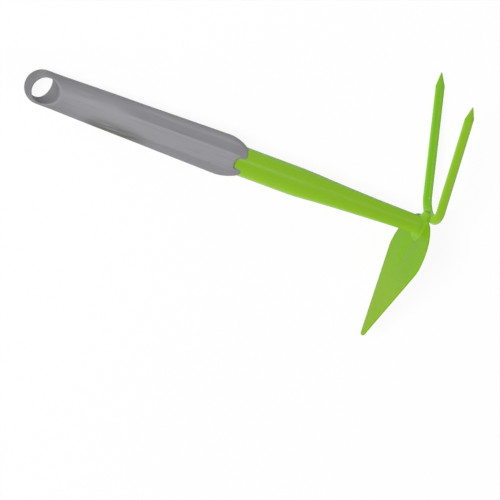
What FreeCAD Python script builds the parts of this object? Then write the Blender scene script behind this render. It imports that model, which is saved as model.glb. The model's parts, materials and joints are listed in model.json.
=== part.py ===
import FreeCAD, Part
import math
import os
import Sketcher

# Triangle hoe: a moulded grip on a swaged steel tube, with a sheet blade and a two-pronged fork
# welded to its end. Millimetres. While it is drawn the handle runs along +X from the centre of the
# hanging hole, the prongs point to +Y, the blade to -Y, and the tool is the same on both sides of
# the plane Z = 0. It is then laid on its side on the floor, with +Z up.

SIZES = [
    # Grip
    ("butt_half_height", 15.15),
    ("butt_half_thickness", 14.95),
    ("mouth_half_height", 18.7),
    ("mouth_half_thickness", 15.4),
    ("butt_centre", -0.7),
    ("grip_body_length", 175.9),
    ("dome_length", 18.2),
    ("mouth_lip", 0.75),
    ("notch_width", 11.1),
    ("notch_depth", 9.7),
    ("notch_corner_radius", 4.4),
    ("lobe_corner_radius", 3.8),
    ("lobe_turn_degrees", 65),
    ("hole_radius", 11.5),
    ("hole_rim_width", 1.5),
    ("socket_start", 117),
    ("socket_clearance", 0.05),
    # Shank
    ("tube_radius", 13.03),
    ("tube_wall", 1.8),
    ("straight_end", 246.7),
    ("neck_length", 3.2),
    ("neck_radius", 8.05),
    ("neck_rise", 1.65),
    # Blade
    ("blade_place", 375.15),
    ("blade_thickness", 2.5),
    ("blade_lean_degrees", 2.47),
    ("blade_half_width", 37.6),
    ("blade_round_drop", 26.4),
    ("blade_shoulder", 0.7),
    ("blade_corner_radius", 17.6),
    ("blade_reach", 110),
    ("blade_tip_radius", 3.3),
    ("blade_edge_width", 0.5),
    ("crease_gap", 0.3),
    ("crease_length", 44),
    ("crease_half_width", 6.5),
    ("crease_height", 1.5),
    # Fork
    ("bar_radius", 4),
    ("bar_seat", 0.75),
    ("fork_rise", 11.7),
    ("fork_lean_degrees", 15.5),
    ("fork_spread_degrees", 13.5),
    ("fork_bend_radius", 17.5),
    ("fork_flat", 2.65),
    ("prong_length", 109.5),
    ("point_length", 12.5),
    ("shoulder_length", 5.5),
    ("shoulder_radius", 4.4),
    ("tip_radius", 0.5),
    # Welds
    ("bead_radius", 3.1),
    ("fork_weld_radius", 4.3),
    ("fork_weld_half_length", 8),
    # Extra length of a cut past the face that it leaves
    ("overrun", 2),
]

# Stretches of the grip from the butt: whether straight between its stations, and for each station
# the share of the body's length, of the growth from butt to mouth, how far the section is faceted,
# and the share of the dome's length.
GRIP_STRETCH_SHARES = [
    (True, [(0, 0, 0, 0), (0.083, 0, 0, 0)]),
    (True, [(0.083, 0, 0, 0), (0.347, 0.33, 0, 0)]),
    (True, [(0.347, 0.33, 0, 0), (0.38, 0.365, 0.07, 0), (0.418, 0.4, 0.26, 0),
            (0.49, 0.475, 0.74, 0), (0.527, 0.512, 0.93, 0), (0.56, 0.546, 1, 0)]),
    (True, [(0.56, 0.546, 1, 0), (1, 1, 1, 0)]),
    (False, [(1, 1, 1, 0), (1, 1, 1, 0.25), (1, 1, 1, 0.5), (1, 1, 1, 0.75), (1, 1, 1, 1)]),
]

# One quarter of the grip's section, as shares of its half thickness and half height.
# Each row is a place on the outline: first of the round section, then of the faceted one.
SMOOTH_SHARES = {
    "side": (1, 0), "side_end": (0.9068, 0.4216), "bevel": (0.7846, 0.62),
    "bevel_end": (0.6599, 0.7514), "corner": (0.4296, 0.903), "corner_end": (0.2934, 0.956),
    "crown": (0, 1),
}
FACET_SHARES = {
    "side": (1, 0), "side_end": (0.994, 0.4216), "bevel": (0.712, 0.5757),
    "bevel_end": (0.448, 0.7514), "corner": (0.363, 0.861), "corner_end": (0.2454, 0.9427),
    "crown": (0, 1),
}
# The same places round the tube, as shares of the quarter turn from the side to the crown.
ROUND_SHARES = {
    "side": 0, "side_end": 0.286, "bevel": 0.489, "bevel_end": 0.692, "corner": 0.778,
    "corner_end": 0.857, "crown": 1,
}

# Swaged part of the tube: share of its length, of the drop in radius and of the rise of its centre.
TAPER_SHARES = [
    (0.104, 0.094, 0.18), (0.224, 0.262, 0.33), (0.409, 0.498, 0.46),
    (0.649, 0.74, 0.63), (0.833, 0.885, 0.85), (1, 1, 1),
]

# How far the forged point's faces swell past flat, as a share of the corner radius.
POINT_SWELL_SHARE = 0.8
TIP_SWELL_SHARE = 0.72

# How far out of the blade's middle the bead starts, as a share of the half sheet.
BEAD_ROOT_SHARE = 0.6

# Sections of the spindle of weld: share of its half length from the middle, and of its radius.
SPINDLE_SHARES = [(-1, 0.5), (-0.55, 0.87), (0, 1), (0.55, 0.87), (1, 0.5)]


class Measure:
    """A number and the sheet expression that gives it, so that one formula serves both."""

    def __init__(self, number, text=None):
        self.number = number
        self.text = text if text is not None else repr(number)

    @staticmethod
    def of(value):
        return value if isinstance(value, Measure) else Measure(value)

    def joined(self, sign, other, number):
        return Measure(number, f"({self.text} {sign} {other.text})")

    def __add__(self, other):
        other = Measure.of(other)
        return self.joined("+", other, self.number + other.number)

    def __sub__(self, other):
        other = Measure.of(other)
        return self.joined("-", other, self.number - other.number)

    def __mul__(self, other):
        other = Measure.of(other)
        return self.joined("*", other, self.number * other.number)

    def __truediv__(self, other):
        other = Measure.of(other)
        return self.joined("/", other, self.number / other.number)

    def __radd__(self, other):
        return Measure.of(other) + self

    def __rsub__(self, other):
        return Measure.of(other) - self

    def __rmul__(self, other):
        return Measure.of(other) * self

    def __neg__(self):
        return Measure(-self.number, f"(-{self.text})")


ZERO = Measure(0)
RIGHT_ANGLE_DEGREES = Measure(90)


def sine(angle):
    return Measure(math.sin(math.radians(angle.number)), f"sin({angle.text})")


def cosine(angle):
    return Measure(math.cos(math.radians(angle.number)), f"cos({angle.text})")


def tangent(angle):
    return sine(angle) / cosine(angle)


def mix(start, end, share):
    """The value a share of the way from start to end."""
    return start + (end - start) * share


class Sizes:
    """The spreadsheet, read as measures by name."""

    def __init__(self, document):
        sheet = document.addObject("Spreadsheet::Sheet", "Sizes")
        for row, (name, value) in enumerate(SIZES, start=1):
            sheet.set(f"A{row}", name)
            sheet.set(f"B{row}", str(value))
            sheet.setAlias(f"B{row}", name)
        document.recompute()
        for name, value in SIZES:
            setattr(self, name, Measure(value, f"Sizes.{name}"))


def vector(first, second=ZERO, third=ZERO):
    return FreeCAD.Vector(first.number, second.number, third.number)


def new_body(document, name):
    body = document.addObject("PartDesign::Body", name)
    body.Label = name
    return body


def origin_plane(body, role):
    return next(item for item in body.Origin.OriginFeatures if item.Role == role)


def new_sketch(body, name, role, place=(ZERO, ZERO, ZERO), turns=()):
    """A sketch on one of the body's planes, moved to place in that plane's own directions and turned."""
    sketch = body.newObject("Sketcher::SketchObject", name)
    sketch.AttachmentSupport = [(origin_plane(body, role), "")]
    sketch.MapMode = "FlatFace"
    position = ";".join(item.text for item in place)
    turned = " * ".join(f"rotation(vector({axis}); {angle.text})" for axis, angle in turns)
    turned = turned if turned else "rotation(vector(0;0;1); 0)"
    sketch.setExpression("AttachmentOffset", f"placement(vector({position}); {turned})")
    return sketch


def bind(sketch, kind, *references, size):
    """A dimension of the sketch that follows a size."""
    index = sketch.addConstraint(Sketcher.Constraint(kind, *references, size.number))
    sketch.setExpression(f"Constraints[{index}]", size.text)


def hold(sketch, geometry, point, place):
    """Fix a point of the sketch at two sizes from its origin."""
    bind(sketch, "DistanceX", -1, 1, geometry, point, size=place[0])
    bind(sketch, "DistanceY", -1, 1, geometry, point, size=place[1])


def near_end(sketch, geometry, place):
    """Number of the end of a line or arc that lies at place."""
    first = sketch.getPoint(geometry, 1).distanceToPoint(place)
    second = sketch.getPoint(geometry, 2).distanceToPoint(place)
    return 1 if first < second else 2


def draw(sketch, start, steps, closed=True):
    """Lines and three-point arcs from start. Each step is (end,) or (end, through)."""
    here = start
    pieces = []
    for step in steps:
        end = step[0]
        if len(step) == 1:
            number = sketch.addGeometry(Part.LineSegment(vector(*here), vector(*end)), False)
        else:
            arc = Part.Arc(vector(*here), vector(*step[1]), vector(*end))
            number = sketch.addGeometry(arc, False)
            guide = sketch.addGeometry(Part.Point(vector(*step[1])), True)
            hold(sketch, guide, 1, step[1])
            sketch.addConstraint(Sketcher.Constraint("PointOnObject", guide, 1, number))
        first = near_end(sketch, number, vector(*here))
        pieces.append((number, first, 3 - first))
        here = end
    if not closed:
        hold(sketch, pieces[0][0], pieces[0][1], start)
    for index, (number, first, last) in enumerate(pieces):
        hold(sketch, number, last, steps[index][0])
        if index:
            before = pieces[index - 1]
            sketch.addConstraint(Sketcher.Constraint("Coincident", before[0], before[2], number, first))
    if closed:
        last = pieces[-1]
        sketch.addConstraint(Sketcher.Constraint("Coincident", last[0], last[2], pieces[0][0], pieces[0][1]))


def draw_circle(sketch, centre, radius):
    circle = Part.Circle(vector(*centre), FreeCAD.Vector(0, 0, 1), radius.number)
    number = sketch.addGeometry(circle, False)
    hold(sketch, number, 3, centre)
    bind(sketch, "Radius", number, size=radius)


def pad(body, sketch, name, length, both_sides=False, reverse=False):
    feature = body.newObject("PartDesign::Pad", name)
    feature.Profile = sketch
    feature.setExpression("Length", length.text)
    feature.Midplane = both_sides
    feature.Reversed = reverse
    return feature


def pocket(body, sketch, name, length=None, both_sides=False, reverse=False):
    """Cut a sketch through everything, or to a length against the sketch's normal."""
    feature = body.newObject("PartDesign::Pocket", name)
    feature.Profile = sketch
    if length is None:
        feature.Type = "ThroughAll"
    else:
        feature.setExpression("Length", length.text)
    feature.Midplane = both_sides
    feature.Reversed = reverse
    return feature


def loft(body, sketches, name, cut=False, ruled=False):
    kind = "PartDesign::SubtractiveLoft" if cut else "PartDesign::AdditiveLoft"
    feature = body.newObject(kind, name)
    feature.Profile = sketches[0]
    feature.Sections = sketches[1:]
    feature.Ruled = ruled
    return feature


def revolve(body, sketch, name, axis, angle):
    feature = body.newObject("PartDesign::Revolution", name)
    feature.Profile = sketch
    feature.ReferenceAxis = (sketch, [axis])
    feature.Angle = angle
    return feature


def grip_quarter(size, growth_share, facet_share, closing_share):
    """Places of the grip's outline from its side to its crown, as (height, thickness)."""
    half_height = mix(size.butt_half_height, size.mouth_half_height, growth_share)
    half_thickness = mix(size.butt_half_thickness, size.mouth_half_thickness, growth_share)
    round_radius = size.tube_radius + size.mouth_lip
    places = {}
    for name, smooth in SMOOTH_SHARES.items():
        thickness_share = smooth[0] + (FACET_SHARES[name][0] - smooth[0]) * facet_share
        height_share = smooth[1] + (FACET_SHARES[name][1] - smooth[1]) * facet_share
        turn = RIGHT_ANGLE_DEGREES * ROUND_SHARES[name]
        height = mix(half_height * height_share, round_radius * sine(turn), closing_share)
        thickness = mix(half_thickness * thickness_share, round_radius * cosine(turn), closing_share)
        places[name] = (height, thickness)
    return places


def flip(place, height=1, thickness=1):
    return (place[0] * height, place[1] * thickness)


def grip_quarter_steps(places, height, thickness, outward):
    """Arcs of one quarter, from the side to the crown when outward, or back."""
    steps = [("bevel", "bevel_end"), ("corner", "corner_end")]
    if not outward:
        steps = [("corner", "bevel_end"), ("bevel", "side_end")]
    return [
        (flip(places[end], height, thickness), flip(places[through], height, thickness))
        for through, end in steps
    ]


def draw_grip_section(sketch, places):
    """The whole outline of the grip: twelve arcs, the same on all four quarters."""
    start = flip(places["side_end"], -1, 1)
    steps = [(places["side_end"], places["side"])]
    steps += grip_quarter_steps(places, 1, 1, True)
    steps += [(flip(places["corner_end"], 1, -1), places["crown"])]
    steps += grip_quarter_steps(places, 1, -1, False)
    steps += [(flip(places["side_end"], -1, -1), flip(places["side"], 1, -1))]
    steps += grip_quarter_steps(places, -1, -1, True)
    steps += [(flip(places["corner_end"], -1, 1), flip(places["crown"], -1, 1))]
    steps += grip_quarter_steps(places, -1, 1, False)
    draw(sketch, start, steps)


def draw_butt_half(sketch, places):
    """The upper half of the first outline, closed along the axis that it turns about."""
    top = places["side"]
    bottom = flip(places["side"], 1, -1)
    draw(
        sketch,
        bottom,
        [(top,), (places["side_end"], half_side(places))]
        + grip_quarter_steps(places, 1, 1, True)
        + [(flip(places["corner_end"], 1, -1), places["crown"])]
        + grip_quarter_steps(places, 1, -1, False)
        + [(bottom, flip(half_side(places), 1, -1))],
    )


def half_side(places):
    """A place between the side and its end, on the one circle through both sides' ends."""
    rise = places["side_end"][0]
    fall = places["side"][1] - places["side_end"][1]
    radius = (rise * rise + fall * fall) / (2 * fall)
    turn = Measure(
        math.degrees(math.asin(rise.number / radius.number)) / 2, f"(asin({(rise / radius).text}) / 2)"
    )
    return (radius * sine(turn), places["side"][1] - radius + radius * cosine(turn))


def make_grip(document, size):
    body = new_body(document, "grip")
    for stretch, (straight, stations) in enumerate(GRIP_STRETCH_SHARES):
        sections = []
        for index, (body_share, growth_share, facet_share, dome_share) in enumerate(stations):
            along = size.grip_body_length * body_share + size.dome_length * dome_share
            name = f"GripSection{stretch}{index}"
            sketch = new_sketch(body, name, "YZ_Plane", (ZERO, ZERO, size.butt_centre + along))
            draw_grip_section(sketch, grip_quarter(size, growth_share, facet_share, dome_share**2))
            sections.append(sketch)
        loft(body, sections, f"GripStretch{stretch}", ruled=straight)
        document.recompute()

    butt = new_sketch(body, "ButtOutline", "YZ_Plane", (ZERO, ZERO, size.butt_centre))
    draw_butt_half(butt, grip_quarter(size, 0, 0, 0))
    revolve(body, butt, "RoundButt", "V_Axis", 180)

    hanging = new_sketch(body, "HangingHole", "XY_Plane")
    draw_circle(hanging, (ZERO, ZERO), size.hole_radius)
    pocket(body, hanging, "HangingHoleCut", both_sides=True)
    document.recompute()
    break_hole_rims(body, size)

    mouth = size.butt_centre + size.grip_body_length + size.dome_length
    notch = new_sketch(body, "MouthNotch", "XY_Plane")
    draw_notch(notch, size, mouth)
    pocket(body, notch, "MouthNotchCut", both_sides=True)
    socket = new_sketch(body, "Socket", "YZ_Plane", (ZERO, ZERO, size.socket_start))
    draw_circle(socket, (ZERO, ZERO), size.tube_radius + size.socket_clearance)
    pocket(body, socket, "SocketCut", mouth - size.socket_start + size.overrun, reverse=True)
    document.recompute()
    return body


def break_hole_rims(body, size):
    """Slope both rims of the hanging hole: the edges at the hole's radius that don't run along it."""
    names = []
    for index, edge in enumerate(body.Tip.Shape.Edges, start=1):
        points = edge.discretize(5)
        tolerance = size.hole_radius.number / 1000
        on_hole = all(abs(math.hypot(p.x, p.y) - size.hole_radius.number) < tolerance for p in points)
        one_side = all(p.z > 0 for p in points) or all(p.z < 0 for p in points)
        if on_hole and one_side:
            names.append(f"Edge{index}")
    base = body.Tip
    rims = body.newObject("PartDesign::Chamfer", "HangingHoleRims")
    rims.Base = (base, names)
    rims.setExpression("Size", size.hole_rim_width.text)


def draw_notch(sketch, size, mouth):
    """A round-bottomed slot that flares open at the mouth of the grip, between two round-cornered lobes."""
    half = size.notch_width / 2
    corner = size.notch_corner_radius
    floor = mouth - size.notch_depth
    reach = corner * (1 - cosine(RIGHT_ANGLE_DEGREES / 2))
    lobe = size.lobe_corner_radius
    turn = size.lobe_turn_degrees
    half_turn = turn / 2
    lobe_start = mouth - lobe * sine(turn)
    lobe_middle = (lobe_start + lobe * sine(half_turn), half + lobe * (1 - cosine(half_turn)))
    lobe_end = (mouth, half + lobe * (1 - cosine(turn)))
    outside = (mouth + size.overrun, lobe_end[1] + size.overrun * tangent(turn))

    def other(point):
        return (point[0], -point[1])

    draw(
        sketch,
        other(outside),
        [
            (other(lobe_end),),
            ((lobe_start, -half), other(lobe_middle)),
            ((floor + corner, -half),),
            ((floor, corner - half), (floor + reach, reach - half)),
            ((floor, half - corner),),
            ((floor + corner, half), (floor + reach, half - reach)),
            ((lobe_start, half),),
            (lobe_end, lobe_middle),
            (outside,),
            (other(outside),),
        ],
    )


def draw_beyond_blade(sketch, size, reach):
    """The space past the blade's face on the handle side, as wide as reach each way."""
    slope = tangent(size.blade_lean_degrees)
    face = size.blade_place - size.blade_thickness / 2 / cosine(size.blade_lean_degrees)
    far = size.blade_place + reach
    below = (face - reach * slope, -reach)
    above = (face + reach * slope, reach)
    draw(sketch, below, [((far, -reach),), ((far, reach),), (above,), (below,)])


def tube_sections(body, size, name, wall):
    """Circles along the swaged part of the tube, each smaller by wall."""
    taper_length = size.blade_place - size.neck_length - size.straight_end
    start = new_sketch(body, f"{name}0", "YZ_Plane", (ZERO, ZERO, size.straight_end))
    draw_circle(start, (ZERO, ZERO), size.tube_radius - wall)
    sections = [start]
    for index, (along_share, drop_share, rise_share) in enumerate(TAPER_SHARES, start=1):
        place = size.straight_end + taper_length * along_share
        sketch = new_sketch(body, f"{name}{index}", "YZ_Plane", (ZERO, ZERO, place))
        radius = mix(size.tube_radius, size.neck_radius, drop_share) - wall
        draw_circle(sketch, (size.neck_rise * rise_share, ZERO), radius)
        sections.append(sketch)
    return sections


def make_shank(document, size):
    body = new_body(document, "shank")
    neck_start = size.blade_place - size.neck_length
    neck_length = size.neck_length + size.overrun
    straight = size.straight_end - size.socket_start
    outside = new_sketch(body, "TubeOutside", "YZ_Plane", (ZERO, ZERO, size.socket_start))
    draw_circle(outside, (ZERO, ZERO), size.tube_radius)
    pad(body, outside, "StraightTube", straight)
    loft(body, tube_sections(body, size, "SwageOutside", ZERO), "Swage", ruled=True)
    neck = new_sketch(body, "NeckOutside", "YZ_Plane", (ZERO, ZERO, neck_start))
    draw_circle(neck, (size.neck_rise, ZERO), size.neck_radius)
    pad(body, neck, "Neck", neck_length)
    document.recompute()

    bore = new_sketch(body, "TubeBore", "YZ_Plane", (ZERO, ZERO, size.socket_start))
    draw_circle(bore, (ZERO, ZERO), size.tube_radius - size.tube_wall)
    pocket(body, bore, "TubeBoreCut", straight, reverse=True)
    loft(body, tube_sections(body, size, "SwageInside", size.tube_wall), "SwageBore", cut=True, ruled=True)
    neck_bore = new_sketch(body, "NeckBore", "YZ_Plane", (ZERO, ZERO, neck_start))
    draw_circle(neck_bore, (size.neck_rise, ZERO), size.neck_radius - size.tube_wall)
    pocket(body, neck_bore, "NeckBoreCut", neck_length, reverse=True)
    beyond = new_sketch(body, "BladeFace", "XY_Plane")
    draw_beyond_blade(beyond, size, size.neck_radius * 2)
    pocket(body, beyond, "BladeFaceCut", both_sides=True)
    document.recompute()
    return body


def make_blade(document, size):
    """Round-topped, pointed sheet with a crease pressed towards the handle."""
    body = new_body(document, "blade")
    place = (ZERO, ZERO, size.blade_place)
    outline = new_sketch(body, "BladeOutline", "YZ_Plane", place, [("0;1;0", -size.blade_lean_degrees)])
    draw_blade_outline(outline, size)
    pad(body, outline, "BladeSheet", size.blade_thickness, both_sides=True)
    document.recompute()
    break_blade_edges(body, size)
    press_crease(body, size)
    document.recompute()
    return body


def draw_blade_outline(sketch, size):
    """Half circle, straight shoulders, rounded corners, long straight sides and a small round tip."""
    top = -size.blade_round_drop
    shoulder = top - size.blade_shoulder
    half = size.blade_half_width
    corner_centre = half - size.blade_corner_radius
    tip_centre = size.blade_tip_radius - size.blade_reach
    # The side touches both the corner's circle and the tip's circle.
    run = shoulder - tip_centre
    rise = corner_centre
    span = Measure(math.hypot(run.number, rise.number), f"hypot({run.text}; {rise.text})")
    ratio = (size.blade_corner_radius - size.blade_tip_radius) / span
    slant = Measure(math.degrees(math.asin(ratio.number)), f"asin({ratio.text})")
    climb = Measure(
        math.degrees(math.atan2(rise.number, run.number)), f"atan2({rise.text}; {run.text})"
    )
    normal = climb + slant
    corner = size.blade_corner_radius
    tip = size.blade_tip_radius
    corner_end = (shoulder - corner * sine(normal), corner_centre + corner * cosine(normal))
    tip_start = (tip_centre - tip * sine(normal), tip * cosine(normal))
    half_turn = normal / 2
    corner_mid = (shoulder - corner * sine(half_turn), corner_centre + corner * cosine(half_turn))

    def other(point):
        return (point[0], -point[1])

    draw(
        sketch,
        (top, -half),
        [
            ((top, half), (top + half, ZERO)),
            ((shoulder, half),),
            (corner_end, corner_mid),
            (tip_start,),
            (other(tip_start), (-size.blade_reach, ZERO)),
            (other(corner_end),),
            ((shoulder, -half), other(corner_mid)),
            ((top, -half),),
        ],
    )


def break_blade_edges(body, size):
    """Take the sharpness off both outlines of the sheet."""
    names = []
    for index, edge in enumerate(body.Tip.Shape.Edges, start=1):
        ends = [edge.valueAt(edge.FirstParameter), edge.valueAt(edge.LastParameter)]
        across = abs(ends[0].z - ends[1].z) + abs(ends[0].y - ends[1].y)
        if across > size.blade_thickness.number:
            names.append(f"Edge{index}")
    base = body.Tip
    edges = body.newObject("PartDesign::Chamfer", "BladeEdges")
    edges.Base = (base, names)
    edges.setExpression("Size", size.blade_edge_width.text)


def press_crease(body, size):
    """A ridge on the handle side that fades out downwards, and the same groove behind it."""
    start = size.neck_radius - size.neck_rise + size.crease_gap
    half = size.blade_thickness / 2
    for name, shift, cut in (("CreaseRidge", ZERO, False), ("CreaseGroove", size.blade_thickness, True)):
        sketches = []
        for index, drop in enumerate((start, start + size.crease_length)):
            middle = size.blade_place - drop * sine(size.blade_lean_degrees) + shift
            below = drop * cosine(size.blade_lean_degrees)
            sketch = new_sketch(body, f"{name}{index}", "XZ_Plane", (ZERO, ZERO, below))
            crest = middle - half - size.crease_height * (1 - index)
            draw(
                sketch,
                (middle, -size.crease_half_width),
                [((middle, size.crease_half_width),), ((crest, ZERO),), ((middle, -size.crease_half_width),)],
            )
            sketches.append(sketch)
        loft(body, sketches, name, cut=cut, ruled=True)


class ForkPlace:
    """Places on the fork, measured in its leaning plane from the middle of the U."""

    def __init__(self, size):
        self.size = size
        self.middle = size.blade_place + size.blade_thickness / 2 + size.bar_radius + size.bar_seat
        self.bend_up = size.fork_bend_radius * (1 - sine(size.fork_spread_degrees))
        self.bend_out = size.fork_flat + size.fork_bend_radius * cosine(size.fork_spread_degrees)

    def along_leg(self, distance):
        """How far up the plane and out to the side a leg has come, past the bend."""
        up = self.bend_up + distance * cosine(self.size.fork_spread_degrees)
        out = self.bend_out + distance * sine(self.size.fork_spread_degrees)
        return up, out

    def in_space(self, up, out):
        lean = self.size.fork_lean_degrees
        return (self.middle - up * sine(lean), self.size.fork_rise + up * cosine(lean), out)


def make_prong_fork(document, size):
    """One bar: half of the U and one forged point, mirrored to the other side."""
    body = new_body(document, "prong_fork")
    place = ForkPlace(size)
    point_start = size.prong_length - size.point_length - size.shoulder_length
    start = (size.fork_rise, ZERO, place.middle)
    route = new_sketch(body, "BarRoute", "YZ_Plane", start, [("0;1;0", size.fork_lean_degrees)])
    half_bend = (RIGHT_ANGLE_DEGREES - size.fork_spread_degrees) / 2
    bend_middle = (
        size.fork_bend_radius * (1 - cosine(half_bend)),
        size.fork_flat + size.fork_bend_radius * sine(half_bend),
    )
    bend_end = (place.bend_up, place.bend_out)
    draw(
        route,
        (ZERO, ZERO),
        [((ZERO, size.fork_flat),), (bend_end, bend_middle), (place.along_leg(point_start),)],
        closed=False,
    )
    section = new_sketch(body, "BarSection", "XY_Plane")
    draw_circle(section, (place.middle, size.fork_rise), size.bar_radius)
    bar = body.newObject("PartDesign::AdditivePipe", "Bar")
    bar.Profile = section
    bar.Spine = (route, [])
    document.recompute()

    stations = [
        ("PointRoot", point_start, size.bar_radius, size.bar_radius),
        ("PointShoulder", point_start + size.shoulder_length, size.shoulder_radius,
         size.shoulder_radius * POINT_SWELL_SHARE),
        ("PointTip", size.prong_length, size.tip_radius, size.tip_radius * TIP_SWELL_SHARE),
    ]
    sketches = []
    for name, distance, corner, swell in stations:
        spot = place.in_space(*place.along_leg(distance))
        turns = [("0;0;1", size.fork_lean_degrees), ("1;0;0", size.fork_spread_degrees - RIGHT_ANGLE_DEGREES)]
        sketch = new_sketch(body, name, "XY_Plane", spot, turns)
        draw_point_section(sketch, corner, swell)
        sketches.append(sketch)
    point = loft(body, sketches, "ForgedPoint", ruled=True)
    document.recompute()

    mirror = body.newObject("PartDesign::Mirrored", "OtherProng")
    mirror.Originals = [bar, point]
    mirror.MirrorPlane = (origin_plane(body, "XY_Plane"), [""])
    body.Tip = mirror
    document.recompute()
    return body


def draw_point_section(sketch, corner, swell):
    """Four arcs between four corners, as a square whose sides swell."""
    side = swell * sine(RIGHT_ANGLE_DEGREES / 2)
    corners = [(corner, ZERO), (ZERO, corner), (-corner, ZERO), (ZERO, -corner)]
    sides = [(side, side), (-side, side), (-side, -side), (side, -side)]
    steps = [(corners[(index + 1) % len(corners)], sides[index]) for index in range(len(corners))]
    draw(sketch, corners[0], steps)


def cut_from(document, name, base, tools):
    """What is left of base once each tool is taken away. The last result carries the name."""
    for index, tool in enumerate(tools):
        result = document.addObject("Part::Cut", f"{name}_less_{tool.Name}")
        result.Base = base
        result.Tool = tool
        base = result
    base.Label = name
    document.recompute()
    return base


def make_blade_weld(document, size, shank, blade):
    """Bead round the end of the tube, seated on the tube and on the blade."""
    body = new_body(document, "blade_weld_bead")
    sketch = new_sketch(body, "BeadSection", "XY_Plane", (size.blade_place, size.neck_rise, ZERO))
    radius = size.bead_radius
    outer = size.neck_radius + radius
    inner = size.neck_radius - size.tube_wall / 2
    shift = size.blade_thickness / 2
    root = -shift * BEAD_ROOT_SHARE
    draw(
        sketch,
        (root, inner),
        [
            ((root, outer),),
            ((-shift, outer),),
            ((-shift - radius, size.neck_radius),),
            ((-shift - radius, inner),),
            ((root, inner),),
        ],
    )
    revolve(body, sketch, "Bead", "H_Axis", 360)
    document.recompute()
    return cut_from(document, "blade_weld", body, [shank, blade])


def make_fork_weld(document, size, neighbours):
    """Spindle of weld over the top of the blade, between the shank and the U of the fork."""
    body = new_body(document, "fork_weld_bead")
    middle = size.blade_place + size.blade_thickness / 2
    sketches = []
    for index, (half_length_share, radius_share) in enumerate(SPINDLE_SHARES):
        place = (middle, size.fork_rise, size.fork_weld_half_length * half_length_share)
        sketch = new_sketch(body, f"SpindleSection{index}", "XY_Plane", place)
        draw_spindle_section(sketch, size.fork_weld_radius * radius_share)
        sketches.append(sketch)
    loft(body, sketches, "Spindle", ruled=True)
    document.recompute()
    return cut_from(document, "fork_weld", body, neighbours)


def draw_spindle_section(sketch, radius):
    """Eight flats, with a corner towards each side of the sketch."""
    turns = [RIGHT_ANGLE_DEGREES * (index / 2) for index in range(8)]
    corners = [(radius * cosine(turn), radius * sine(turn)) for turn in turns]
    draw(sketch, corners[0], [(corner,) for corner in corners[1:] + corners[:1]])


def check(document, parts):
    """Stop on any failed object, or any part that is empty or broken."""
    for item in document.Objects:
        if "Invalid" in item.State or "Error" in item.State:
            raise RuntimeError(f"{item.Name} failed: {item.State}")
    for part in parts:
        if part.Shape.isNull() or not part.Shape.isValid():
            raise RuntimeError(f"{part.Label} has no valid shape")


def resting_turn(size):
    """Turn that lays the tool on its far side: on the rim of the hole, the blade and one prong."""
    rim = vector(size.hole_radius + size.hole_rim_width, ZERO, -size.butt_half_thickness)
    drop = size.blade_round_drop + size.blade_shoulder
    back = size.blade_thickness / 2 + drop * sine(size.blade_lean_degrees)
    blade_edge = vector(size.blade_place - back, -drop, -size.blade_half_width)
    fork = ForkPlace(size)
    up, out = fork.along_leg(size.prong_length - size.point_length)
    up = up - size.shoulder_radius * sine(size.fork_spread_degrees)
    out = out + size.shoulder_radius * cosine(size.fork_spread_degrees)
    across, along, side = fork.in_space(up, out)
    prong = vector(across, along, -side)
    floor = (blade_edge - rim).cross(prong - rim)
    return FreeCAD.Rotation(floor, FreeCAD.Vector(0, 0, 1))


def lay_down(document, size, parts):
    """Lay the whole tool on the floor, with the origin under the middle of its box."""
    turned = FreeCAD.Placement(FreeCAD.Vector(0, 0, 0), resting_turn(size))
    box = FreeCAD.BoundBox()
    for part in parts:
        shape = part.Shape.copy()
        shape.Placement = turned.multiply(shape.Placement)
        box.add(shape.optimalBoundingBox(False, False))
    place = FreeCAD.Vector(-box.Center.x, -box.Center.y, -box.ZMin)
    for item in document.Objects:
        if item.TypeId == "PartDesign::Body":
            item.Placement = FreeCAD.Placement(place, turned.Rotation)
    document.recompute()


def main():
    document = FreeCAD.newDocument("TriangleHoe")
    size = Sizes(document)
    grip = make_grip(document, size)
    shank = make_shank(document, size)
    blade = make_blade(document, size)
    prong_fork = make_prong_fork(document, size)
    blade_weld = make_blade_weld(document, size, shank, blade)
    fork_weld = make_fork_weld(document, size, [shank, blade, prong_fork, blade_weld])
    parts = [grip, shank, blade, prong_fork, blade_weld, fork_weld]
    check(document, parts)
    lay_down(document, size, parts)
    check(document, parts)
    os.makedirs("parts", exist_ok=True)
    for part in parts:
        part.Shape.exportStep(os.path.join("parts", f"{part.Label}.step"))
        print(part.Label, "solids", len(part.Shape.Solids), "volume", round(part.Shape.Volume))
    print("hanging hole", grip.Placement.Base, grip.Placement.Rotation.multVec(FreeCAD.Vector(0, 0, 1)))


main()
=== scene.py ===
import json
import math

import bpy
from mathutils import Matrix, Vector


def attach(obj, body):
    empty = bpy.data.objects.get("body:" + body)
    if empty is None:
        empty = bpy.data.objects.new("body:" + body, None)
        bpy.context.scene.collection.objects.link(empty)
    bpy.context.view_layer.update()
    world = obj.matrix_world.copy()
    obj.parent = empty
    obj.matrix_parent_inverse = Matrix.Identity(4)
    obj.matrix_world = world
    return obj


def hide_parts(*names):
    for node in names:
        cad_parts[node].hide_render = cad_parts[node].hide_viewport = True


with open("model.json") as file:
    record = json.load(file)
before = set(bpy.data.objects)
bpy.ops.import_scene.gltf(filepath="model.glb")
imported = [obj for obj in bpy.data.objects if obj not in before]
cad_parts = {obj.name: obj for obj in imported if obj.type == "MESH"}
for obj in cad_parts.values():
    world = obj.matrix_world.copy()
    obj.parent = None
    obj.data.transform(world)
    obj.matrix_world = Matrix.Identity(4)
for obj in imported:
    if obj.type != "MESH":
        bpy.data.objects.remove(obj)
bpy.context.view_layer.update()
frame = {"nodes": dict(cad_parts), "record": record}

MM = 0.001

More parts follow.
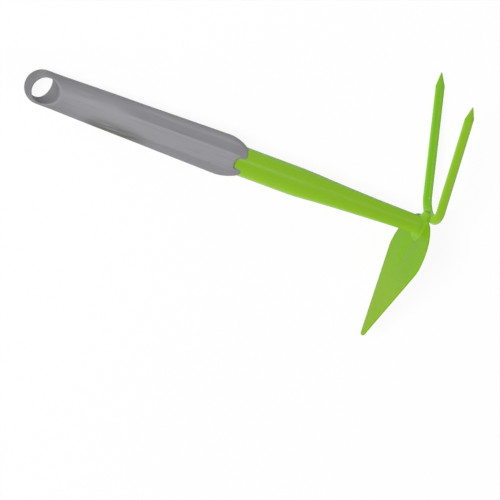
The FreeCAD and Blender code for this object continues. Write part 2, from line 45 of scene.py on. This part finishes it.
# The tool as it is drawn: handle along X from the centre of the hanging hole, prongs towards Y,
# blade towards -Y. It lies turned on the floor, and the hanging hole says how.
hanging_hole = frame["record"]["mounts"][0]
lying_turn = Vector((0, 0, 1)).rotation_difference(Vector(hanging_hole["axis"]))
LYING = Matrix.Translation(Vector(hanging_hole["pos_m"])) @ lying_turn.to_matrix().to_4x4()

# Sizes of the tool's pieces, in millimetres, and the angle at which the blade leans.
TUBE_RADIUS = 13.03
TUBE_WALL = 1.8
TUBE_START = 117.0
STRAIGHT_END = 246.7
NECK_START = 371.95
NECK_RADIUS = 8.05
NECK_RISE = 1.65
NECK_OVERRUN = 4.0
BLADE_PLACE = 375.15
BLADE_THICKNESS = 2.5
BLADE_LEAN = math.radians(2.47)
GRIP_MOUTH = 193.4

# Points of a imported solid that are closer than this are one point, in millimetres.
SAME_POINT = 0.002

# Size of the small faces that a piece's edges melt into, in millimetres.
GRIP_FACES = 0.75
BLADE_FACES = 0.5
PRONG_FACES = 0.36
WELD_FACES = 0.4


# Modelling helpers


def deselect_all():
    bpy.ops.object.select_all(action="DESELECT")


def work_on(piece):
    deselect_all()
    piece.select_set(True)
    bpy.context.view_layer.objects.active = piece


def edit(piece):
    work_on(piece)
    bpy.ops.object.mode_set(mode="EDIT")


def leave_edit():
    bpy.ops.object.mode_set(mode="OBJECT")


def apply_modifier(piece, kind, **settings):
    work_on(piece)
    modifier = piece.modifiers.new(kind.title(), kind)
    for name, value in settings.items():
        setattr(modifier, name, value)
    bpy.ops.object.modifier_apply(modifier=modifier.name)


def laid_on_floor(piece):
    """Turn a piece drawn along X into its place on the floor, with the place kept in its mesh."""
    piece.data.transform(LYING @ Matrix.Scale(MM, 4))
    piece.data.update()


def merged_copy(node, name):
    """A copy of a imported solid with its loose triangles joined."""
    piece = frame["nodes"][node].copy()
    piece.data = piece.data.copy()
    piece.name = name
    piece.data.name = name
    piece.parent = None
    for key in list(piece.keys()):
        del piece[key]
    bpy.context.scene.collection.objects.link(piece)
    edit(piece)
    bpy.ops.mesh.select_all(action="SELECT")
    bpy.ops.mesh.remove_doubles(threshold=SAME_POINT * MM)
    bpy.ops.mesh.normals_make_consistent(inside=False)
    leave_edit()
    return piece


def reskinned(piece, face_size):
    """Cover the piece with an even skin of small faces."""
    apply_modifier(piece, "REMESH", mode="VOXEL", voxel_size=face_size * MM)


def softened(piece, face_size, rounds):
    """Melt the piece's sharp edges: an even skin of small faces, relaxed a few times."""
    reskinned(piece, face_size)
    apply_modifier(piece, "SMOOTH", factor=0.5, iterations=rounds)


def smooth_shaded(piece, angle):
    """Shade the piece smooth where its faces meet at less than an angle in degrees."""
    work_on(piece)
    bpy.ops.object.shade_smooth_by_angle(angle=math.radians(angle))


def dressed(piece, finish, slot, *nodes):
    """Give a piece its finish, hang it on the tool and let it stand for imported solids."""
    piece.data.materials.clear()
    piece.data.materials.append(finish)
    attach(piece, "root")
    if nodes:
        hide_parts(*nodes)
    return piece


# Finishes


class Signal:
    """A socket of a finish, so that its maths is written as plain sums."""

    def __init__(self, finish, socket):
        self.finish = finish
        self.socket = socket

    def __add__(self, other):
        return self.finish.maths("ADD", self, other)

    def __radd__(self, other):
        return self.finish.maths("ADD", other, self)

    def __sub__(self, other):
        return self.finish.maths("SUBTRACT", self, other)

    def __rsub__(self, other):
        return self.finish.maths("SUBTRACT", other, self)

    def __mul__(self, other):
        return self.finish.maths("MULTIPLY", self, other)

    def __rmul__(self, other):
        return self.finish.maths("MULTIPLY", other, self)

    def __pow__(self, other):
        return self.finish.maths("POWER", self, other)


class Finish:
    """A material built from nodes, ending in one Principled shader."""

    def __init__(self, name, **fixed):
        self.material = bpy.data.materials.new(name)
        self.material.use_nodes = True
        self.nodes = self.material.node_tree.nodes
        self.links = self.material.node_tree.links
        self.shader = self.nodes["Principled BSDF"]
        for socket, value in fixed.items():
            self.shader.inputs[socket.replace("_", " ")].default_value = value
        self.place = self.add("ShaderNodeTexCoord", {}, {}, output="Object")
        stood = LYING.inverted()
        drawn = self.add(
            "ShaderNodeMapping",
            {"vector_type": "POINT"},
            {
                "Vector": self.place,
                "Location": stood.translation / MM,
                "Rotation": stood.to_euler(),
                "Scale": (1 / MM, 1 / MM, 1 / MM),
            },
        )
        self.along, self.upward, self.sideways = (
            self.add("ShaderNodeSeparateXYZ", {}, {"Vector": drawn}, output=axis) for axis in "XYZ"
        )

    def add(self, kind, settings, inputs, output=0):
        """Any node: its settings first, then the values or links of its sockets."""
        node = self.nodes.new(kind)
        for name, value in settings.items():
            setattr(node, name, value)
        for socket, value in inputs.items():
            self.feed(node.inputs[socket], value)
        return Signal(self, node.outputs[output])

    def feed(self, socket, value):
        if isinstance(value, Signal):
            self.links.new(value.socket, socket)
        elif isinstance(value, tuple) and len(value) == 3 and socket.type == "RGBA":
            socket.default_value = (*value, 1.0)
        else:
            socket.default_value = value

    def wire(self, **varying):
        """Feed what changes over the surface into the shader."""
        for socket, value in varying.items():
            self.feed(self.shader.inputs[socket.replace("_", " ")], value)

    def maths(self, operation, *values):
        return self.add("ShaderNodeMath", {"operation": operation}, dict(enumerate(values)))

    def noise(self, scale, detail=2.0, roughness=0.5, place=None):
        settings = {"noise_dimensions": "3D"}
        inputs = {"Vector": place or self.place, "Scale": scale, "Detail": detail, "Roughness": roughness}
        return self.add("ShaderNodeTexNoise", settings, inputs, output="Fac")

    def specks(self, scale):
        """Distance to the nearest of many scattered points."""
        inputs = {"Vector": self.place, "Scale": scale}
        return self.add("ShaderNodeTexVoronoi", {"feature": "F1"}, inputs, output="Distance")

    def step(self, value, low, high):
        """0 below low, 1 above high, eased between them."""
        inputs = {"Value": value, "From Min": low, "From Max": high}
        return self.add("ShaderNodeMapRange", {"interpolation_type": "SMOOTHSTEP"}, inputs)

    def blend(self, share, first, second):
        inputs = {0: share, 6: first, 7: second}
        return self.add("ShaderNodeMix", {"data_type": "RGBA"}, inputs, output=2)

    def bump(self, height, distance, strength):
        return self.add("ShaderNodeBump", {}, {"Height": height, "Distance": distance, "Strength": strength})


def moulded_grey_plastic():
    """Satin grey polypropylene from a fine spark-textured mould, scuffed along its length, with painted
    shade low on the grip and in the hanging hole.
    """
    finish = Finish("moulded_grey_plastic", Specular_IOR_Level=0.42, IOR=1.49)
    grain = finish.noise(1500.0, detail=3.0, roughness=0.6)
    pebbles = finish.specks(2100.0)
    flow = finish.noise(24.0, detail=3.0, roughness=0.55)
    rubbed = finish.step(finish.noise(60.0, detail=6.0, roughness=0.7), 0.52, 0.68)
    grey = finish.blend(flow, (0.3, 0.296, 0.318), (0.33, 0.326, 0.349))
    grey = finish.blend(grain * 0.22, grey, (0.255, 0.252, 0.273))
    grey = finish.blend(finish.step(scuffs(finish), 0.48, 0.7) * 0.5, grey, (0.25, 0.243, 0.245))
    # Handling wear and painted shade at the hanging hole's end of the grip.
    grey = finish.blend(wear_and_shade_at_hole(finish), grey, (0.17, 0.168, 0.172))
    # Painted shade: a dark brownish patch low on the grip, before the flats begin.
    grey = finish.blend(painted_low_shade(finish), grey, (0.125, 0.12, 0.098))
    finish.wire(
        Base_Color=grey,
        Roughness=0.5 + grain * 0.12 - rubbed * 0.07,
        Normal=finish.bump(pebbles * 0.6 + grain, 0.00006, 0.75),
    )
    return finish.material


def wear_and_shade_at_hole(finish):
    """Darker end, inside of the hanging hole and collar, fading out along the grip: partly handling wear on
    the end, partly painted shade in the hole and over the collar where the lamp's light falls.
    """
    radius = (finish.along * finish.along + finish.upward * finish.upward) ** 0.5
    patchy = finish.noise(90.0, detail=4.0, roughness=0.6)
    end = 1.0 - finish.step(finish.along + patchy * 3.0, -13.0, -3.0)
    bore = 1.0 - finish.step(radius, 11.7, 12.7)
    collar = 1.0 - finish.step(finish.along + patchy * 12.0, 16.0, 46.0)
    return end * 0.7 + bore * 0.3 + collar * 0.16


def painted_low_shade(finish):
    """Painted shade: a long dark patch low on the grip, before the flats begin, where the surface turns down
    away from the light.
    """
    streaks = scuffs(finish)
    start = finish.step(finish.along + streaks * 20.0, 44.0, 72.0)
    end = 1.0 - finish.step(finish.along + streaks * 20.0, 92.0, 122.0)
    low = 1.0 - finish.step(finish.upward + streaks * 4.0, -11.0, 1.0)
    return start * end * low * finish.step(streaks, 0.32, 0.58)


def scuffs(finish):
    """Noise drawn out along the handle, as a hand rubs it."""
    drawn_out = finish.add(
        "ShaderNodeCombineXYZ",
        {},
        {"X": finish.along * 0.035, "Y": finish.upward * 0.5, "Z": finish.sideways * 0.5},
    )
    return finish.noise(1.0, detail=5.0, roughness=0.62, place=drawn_out)


def green_enamel(name, evenness, lacquer, deep, light, painted_light_tint, painted_light_mask):
    """Apple-green powder coat over steel, with a little orange peel, a few small nibs and a yellower tint of
    painted light.
    """
    finish = Finish(
        name,
        IOR=1.5,
        Specular_IOR_Level=0.1,
        Diffuse_Roughness=evenness,
        Coat_Weight=lacquer,
        Coat_IOR=1.25,
        Coat_Roughness=0.12,
    )
    peel = finish.noise(330.0, detail=2.0, roughness=0.45)
    ripple = finish.noise(1300.0, detail=2.0)
    drift = finish.noise(16.0, detail=3.0)
    nibs = 1.0 - finish.step(finish.specks(170.0), 0.03, 0.085)
    dulled = finish.step(finish.noise(45.0, detail=5.0, roughness=0.65), 0.5, 0.7)
    green = finish.blend(drift, deep, light)
    # Painted light: a yellower, lighter tint where the light falls, on one side of the tube and fork or on
    # the blade's point.
    green = finish.blend(painted_light_mask(finish), green, painted_light_tint)
    green = finish.blend(thin_dust(finish), green, (0.3, 0.45, 0.085))
    green = finish.blend(dulled * 0.2, green, (0.232, 0.46, 0.026))
    finish.wire(
        Base_Color=green,
        Roughness=0.32 + ripple * 0.08 + dulled * 0.1,
        Normal=finish.bump(peel + ripple * 0.15 + nibs * 0.4, 0.0001, 0.4),
    )
    return finish.material


def painted_light_side(finish):
    """Painted light: the half of the tube and the fork that faces up towards the lamps, tinted a little
    yellower.
    """
    return finish.step(finish.sideways - finish.upward * 0.3, -9.0, 9.0) * 0.8


def painted_light_point(finish):
    """Painted light: the blade's point, tinted a little lighter and yellower where the light falls."""
    return 1.0 - finish.step(finish.upward, -72.0, -26.0)


def thin_dust(finish):
    """Patches of dust, hardly seen."""
    return finish.step(finish.noise(38.0, detail=5.0, roughness=0.6), 0.55, 0.8) * 0.12


GREY = moulded_grey_plastic()
GREEN = green_enamel(
    "green_enamel",
    evenness=1.0,
    lacquer=0.25,
    deep=(0.207, 0.505, 0.018),
    light=(0.24, 0.545, 0.022),
    painted_light_tint=(0.272, 0.495, 0.02),
    painted_light_mask=painted_light_side,
)
# Painted shade: a darker copy of the green enamel for the welds in the joint of tube, blade and bar.
SHADED_WELD_GREEN = green_enamel(
    "green_enamel_shaded_on_welds",
    evenness=1.0,
    lacquer=0.25,
    deep=(0.19, 0.455, 0.016),
    light=(0.225, 0.495, 0.02),
    painted_light_tint=(0.235, 0.475, 0.018),
    painted_light_mask=painted_light_side,
)
BLADE_GREEN = green_enamel(
    "green_enamel_on_blade",
    evenness=0.0,
    lacquer=0.0,
    deep=(0.212, 0.486, 0.006),
    light=(0.24, 0.516, 0.008),
    painted_light_tint=(0.275, 0.505, 0.014),
    painted_light_mask=painted_light_point,
)


# Grip

# The socket is plugged while the grip's edges melt, and then bored again, in millimetres.
PLUG_PLAY = 0.35
PLUG_OVERRUN = 6.0
BORE_PLAY = 0.02
BORE_OVERRUN = 12.0


def make_grip():
    """Moulded grip with melted edges, cut clean round the tube."""
    grip = merged_copy("grip", "moulded_grip")
    plug = tube_blank("socket_plug", TUBE_RADIUS - PLUG_PLAY, GRIP_MOUTH + PLUG_OVERRUN)
    bore = tube_blank("socket_bore", TUBE_RADIUS + BORE_PLAY, GRIP_MOUTH + BORE_OVERRUN)
    combine(grip, plug, "UNION")
    softened(grip, GRIP_FACES, rounds=7)
    combine(grip, bore, "DIFFERENCE")
    smooth_shaded(grip, angle=42)
    return dressed(grip, GREY, "grip_plastic", "grip")


def tube_blank(name, radius, end):
    """Round bar that lies where the tube does in the grip."""
    length = end - TUBE_START
    deselect_all()
    bpy.ops.mesh.primitive_cylinder_add(
        vertices=128,
        radius=radius,
        depth=length,
        location=(TUBE_START + length / 2, 0, 0),
        rotation=(0, math.radians(90), 0),
    )
    blank = bpy.context.object
    blank.name = name
    bpy.ops.object.transform_apply(location=True, rotation=True, scale=True)
    laid_on_floor(blank)
    return blank


def combine(piece, tool, operation):
    """Join a tool to the piece, or cut it away, and throw the tool away."""
    apply_modifier(piece, "BOOLEAN", operation=operation, object=tool, solver="EXACT")
    bpy.data.objects.remove(tool)


# Shank

# Swaged part of the tube: share of its length, of the drop in radius and of the rise of its centre.
SWAGE_SHARES = [
    (0, 0, 0), (0.05, 0.03, 0.09), (0.104, 0.094, 0.18), (0.16, 0.17, 0.26), (0.224, 0.262, 0.33),
    (0.31, 0.384, 0.4), (0.409, 0.498, 0.46), (0.53, 0.625, 0.54), (0.649, 0.74, 0.63),
    (0.74, 0.817, 0.74), (0.833, 0.885, 0.85), (0.92, 0.95, 0.94), (1, 1, 1),
]


def make_shank():
    """Steel tube from inside the grip to the blade, drawn down to a slim neck."""
    deselect_all()
    bpy.ops.mesh.primitive_circle_add(
        vertices=96,
        radius=TUBE_RADIUS,
        fill_type="NOTHING",
        location=(0, 0, 0),
        rotation=(0, math.radians(90), 0),
    )
    shank = bpy.context.object
    shank.name = "swaged_shank"
    bpy.ops.object.transform_apply(location=True, rotation=True, scale=True)
    edit(shank)
    bpy.ops.mesh.select_all(action="SELECT")
    bpy.ops.transform.translate(value=(TUBE_START, 0, 0))
    draw_tube(STRAIGHT_END - TUBE_START, 0.0, 1.0)
    radius = TUBE_RADIUS
    for before, after in zip(SWAGE_SHARES, SWAGE_SHARES[1:]):
        step = (after[0] - before[0]) * (NECK_START - STRAIGHT_END)
        rise = (after[2] - before[2]) * NECK_RISE
        slimmer = TUBE_RADIUS + (NECK_RADIUS - TUBE_RADIUS) * after[1]
        draw_tube(step, rise, slimmer / radius)
        radius = slimmer
    draw_tube(BLADE_PLACE + NECK_OVERRUN - NECK_START, 0.0, 1.0)
    bpy.ops.mesh.select_all(action="SELECT")
    face = BLADE_PLACE - BLADE_THICKNESS / 2 / math.cos(BLADE_LEAN)
    bpy.ops.mesh.bisect(
        plane_co=(face, 0, 0),
        plane_no=(math.cos(BLADE_LEAN), -math.sin(BLADE_LEAN), 0),
        clear_outer=True,
    )
    bpy.ops.mesh.select_all(action="SELECT")
    bpy.ops.mesh.normals_make_consistent(inside=False)
    leave_edit()
    apply_modifier(shank, "SOLIDIFY", thickness=TUBE_WALL, offset=-1.0)
    laid_on_floor(shank)
    smooth_shaded(shank, angle=35)
    return dressed(shank, GREEN, "green_enamel", "shank")


def draw_tube(step, rise, ratio):
    """Pull the open end of the tube on by a step, and up, and make it slimmer."""
    bpy.ops.mesh.extrude_region_move(TRANSFORM_OT_translate={"value": (step, rise, 0)})
    bpy.ops.transform.resize(value=(ratio, ratio, ratio))


# Blade

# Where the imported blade's crease lies, in millimetres: down the blade, and to each side.
CREASE_TOP = 5.6
CREASE_END = 54.0
CREASE_SIDE = 7.6

# Presses that make the new crease, in millimetres: how deep, how far down the blade and how wide.
# They start at one height and follow the blade's middle line.
DENTS_TOP = 3.0
DENTS_SIDE = 0.3
CREASE_DENTS = [(0.45, 14.0, 15.0), (0.45, 28.0, 12.0), (0.4, 44.0, 8.0)]

# The stretch that is relaxed after the presses, in millimetres: down the blade, and to each side.
RELAXED_END = 62.0
RELAXED_SIDE = 15.0

# Points further than this from the sheet's middle belong to one of its faces, in millimetres.
NEAR_FACE = 0.4


def make_blade():
    """Sheet blade with softened edges and a crease pressed into the side that faces the handle."""
    blade = merged_copy("blade", "pointed_blade")
    softened(blade, BLADE_FACES, rounds=4)
    across = LYING.to_3x3() @ Vector((math.cos(BLADE_LEAN), -math.sin(BLADE_LEAN), 0))
    face = BLADE_THICKNESS / 2 / math.cos(BLADE_LEAN)
    for side in (-1, 1):
        pick(blade, lambda over, drop, off: over * side > NEAR_FACE and on_crease(drop, off))
        bpy.ops.transform.resize(
            value=(1, 1, 0),
            orient_type="GLOBAL",
            orient_matrix=across.to_track_quat("Z", "Y").to_matrix(),
            orient_matrix_type="GLOBAL",
            constraint_axis=(False, False, True),
            center_override=LYING @ (Vector((BLADE_PLACE + side * face, 0, 0)) * MM),
        )
        leave_edit()
    for depth, reach, width in CREASE_DENTS:
        pick(blade, lambda over, drop, off: DENTS_TOP < drop < reach and abs(off) < DENTS_SIDE)
        bpy.ops.transform.translate(
            value=across * depth * MM,
            use_proportional_edit=True,
            proportional_edit_falloff="LINEAR",
            proportional_size=width * MM,
        )
        leave_edit()
    pick(blade, lambda over, drop, off: drop < RELAXED_END and abs(off) < RELAXED_SIDE)
    bpy.ops.mesh.vertices_smooth(factor=0.5, repeat=14)
    leave_edit()
    smooth_shaded(blade, angle=40)
    return dressed(blade, BLADE_GREEN, "green_enamel", "blade")


def on_crease(drop, off):
    return CREASE_TOP < drop < CREASE_END and abs(off) < CREASE_SIDE


def pick(piece, wanted):
    """Select the blade's points by their place over its middle, down from the handle and off to the side."""
    edit(piece)
    bpy.ops.mesh.select_all(action="DESELECT")
    leave_edit()
    drawn = Matrix.Scale(1 / MM, 4) @ LYING.inverted()
    for point in piece.data.vertices:
        place = drawn @ point.co
        over = (place.x - BLADE_PLACE) * math.cos(BLADE_LEAN) - place.y * math.sin(BLADE_LEAN)
        point.select = wanted(over, -place.y, place.z)
    edit(piece)


# Prong fork


def make_prongs():
    """Bent bar with two forged points."""
    prongs = merged_copy("prong_fork", "pronged_bar")
    softened(prongs, PRONG_FACES, rounds=3)
    smooth_shaded(prongs, angle=28)
    return dressed(prongs, GREEN, "green_enamel", "prong_fork")


# Welds

# Lumps that the torch leaves, and how far the paint's skin sinks back over them, in millimetres.
LUMP_WIDTH = 2.4
LUMP_HEIGHT = 0.6
SKIN_SINK = 0.22

# Ball round the joint of tube, blade and bar, in millimetres.
JOINT_RADIUS = 16.5
JOINT_MIDDLE = (BLADE_PLACE + 1.0, 3.5, 0)


def make_welds():
    """Both welds as one run of metal that flows into the tube, the blade and the bar under the paint."""
    welds = merged_copy("blade_weld", "head_welds")
    for node in ("fork_weld", "shank", "blade", "prong_fork"):
        take_in(welds, merged_copy(node, f"{node}_at_welds"))
    trim_to_head(welds)
    softened(welds, WELD_FACES, rounds=2)
    lumps = bpy.data.textures.new("weld_lumps", "CLOUDS")
    lumps.noise_scale = LUMP_WIDTH * MM
    lumps.noise_depth = 1
    apply_modifier(
        welds,
        "DISPLACE",
        texture=lumps,
        texture_coords="LOCAL",
        strength=LUMP_HEIGHT * MM,
        mid_level=0.5,
    )
    apply_modifier(welds, "SMOOTH", factor=0.5, iterations=60)
    apply_modifier(welds, "DISPLACE", strength=-SKIN_SINK * MM, mid_level=0.0)
    smooth_shaded(welds, angle=80)
    # The welds take the darker enamel copy, painted shade in the joint.
    return dressed(welds, SHADED_WELD_GREEN, "green_enamel", "blade_weld", "fork_weld")


def take_in(piece, other):
    """Add the other piece's mesh to this one."""
    work_on(piece)
    other.select_set(True)
    bpy.ops.object.join()


def trim_to_head(piece):
    """Keep what lies within a ball round the joint of tube, blade and bar."""
    deselect_all()
    bpy.ops.mesh.primitive_uv_sphere_add(
        segments=48,
        ring_count=24,
        radius=JOINT_RADIUS,
        location=JOINT_MIDDLE,
    )
    ball = bpy.context.object
    ball.name = "joint_ball"
    bpy.ops.object.transform_apply(location=True, rotation=True, scale=True)
    laid_on_floor(ball)
    reskinned(piece, WELD_FACES)
    combine(piece, ball, "INTERSECT")


make_welds()
make_grip()
make_shank()
make_blade()
make_prongs()


# Floor, light and camera


def make_floor():
    deselect_all()
    bpy.ops.mesh.primitive_plane_add(size=8.0, location=(0, 0, 0))
    floor = bpy.context.object
    floor.name = "studio_floor"
    floor.data.materials.append(studio_paper())


def studio_paper():
    """Pale paper that is white to the camera and in reflections, and keeps the tool's shadow."""
    paper = Finish("studio_floor_paper", Base_Color=(0.62, 0.62, 0.62, 1.0), Roughness=0.9)
    camera, mirrored, through = (
        paper.add("ShaderNodeLightPath", {}, {}, output=ray)
        for ray in ("Is Camera Ray", "Is Glossy Ray", "Is Transmission Ray")
    )
    seen = paper.maths("MAXIMUM", camera, paper.maths("MAXIMUM", mirrored, through))
    glow = paper.add("ShaderNodeEmission", {}, {"Strength": 1.05})
    lit = Signal(paper, paper.shader.outputs["BSDF"])
    mixed = paper.add("ShaderNodeMixShader", {}, {0: seen * 0.88, 1: lit, 2: glow})
    paper.feed(paper.nodes["Material Output"].inputs["Surface"], mixed)
    return paper.material


def make_lamp(name, spot, aim, size, power):
    """Soft round lamp at a spot, turned towards its aim."""
    deselect_all()
    bpy.ops.object.light_add(type="AREA", location=spot)
    lamp = bpy.context.object
    lamp.name = name
    lamp.data.shape = "DISK"
    lamp.data.size = size
    lamp.data.energy = power
    lamp.rotation_euler = (Vector(aim) - Vector(spot)).to_track_quat("-Z", "Y").to_euler()
    return lamp


# The camera's place and its right and upward directions, as the tool is drawn, in millimetres.
CAMERA_SPOT = Vector((-1486.08, 968.35, 3984.81))
CAMERA_RIGHT = Vector((0.86677, 0.42264, 0.26474))
CAMERA_UP = Vector((-0.31553, 0.87583, -0.36518))


def make_camera():
    """The view of the photograph, 4.4 m away with a long lens."""
    back = CAMERA_RIGHT.cross(CAMERA_UP).normalized()
    up = back.cross(CAMERA_RIGHT).normalized()
    turn = Matrix((CAMERA_RIGHT.normalized(), up, back)).transposed().to_4x4()
    spot = Matrix.Translation(CAMERA_SPOT * MM)
    deselect_all()
    bpy.ops.object.camera_add()
    camera = bpy.context.object
    camera.matrix_world = LYING @ spot @ turn
    camera.data.sensor_width = 36.0
    camera.data.lens = 369.36
    camera.data.clip_start = 0.1
    camera.data.clip_end = 20.0
    bpy.context.scene.camera = camera


def make_surroundings():
    """Even white surroundings, two soft lamps for the colour and one that leaves the glints."""
    world = bpy.data.worlds.new("studio")
    bpy.context.scene.world = world
    world.use_nodes = True
    world.node_tree.nodes["Background"].inputs["Color"].default_value = (1.0, 1.0, 1.0, 1.0)
    world.node_tree.nodes["Background"].inputs["Strength"].default_value = 0.24
    key = make_lamp("key_lamp", spot=(-3.2, 0.0, 3.75), aim=(0, 0, 0), size=1.6, power=214.0)
    key.visible_glossy = False
    fill = make_lamp("fill_lamp", spot=(3.6, -0.6, 1.0), aim=(0, 0, 0), size=1.6, power=36.0)
    fill.visible_glossy = False
    glint = make_lamp("glint_lamp", spot=(0.87, 1.41, 3.7), aim=(0.19, 0, 0), size=0.3, power=70.0)
    glint.visible_diffuse = False


make_floor()
make_camera()
make_surroundings()
bpy.context.scene.view_settings.view_transform = "Standard"
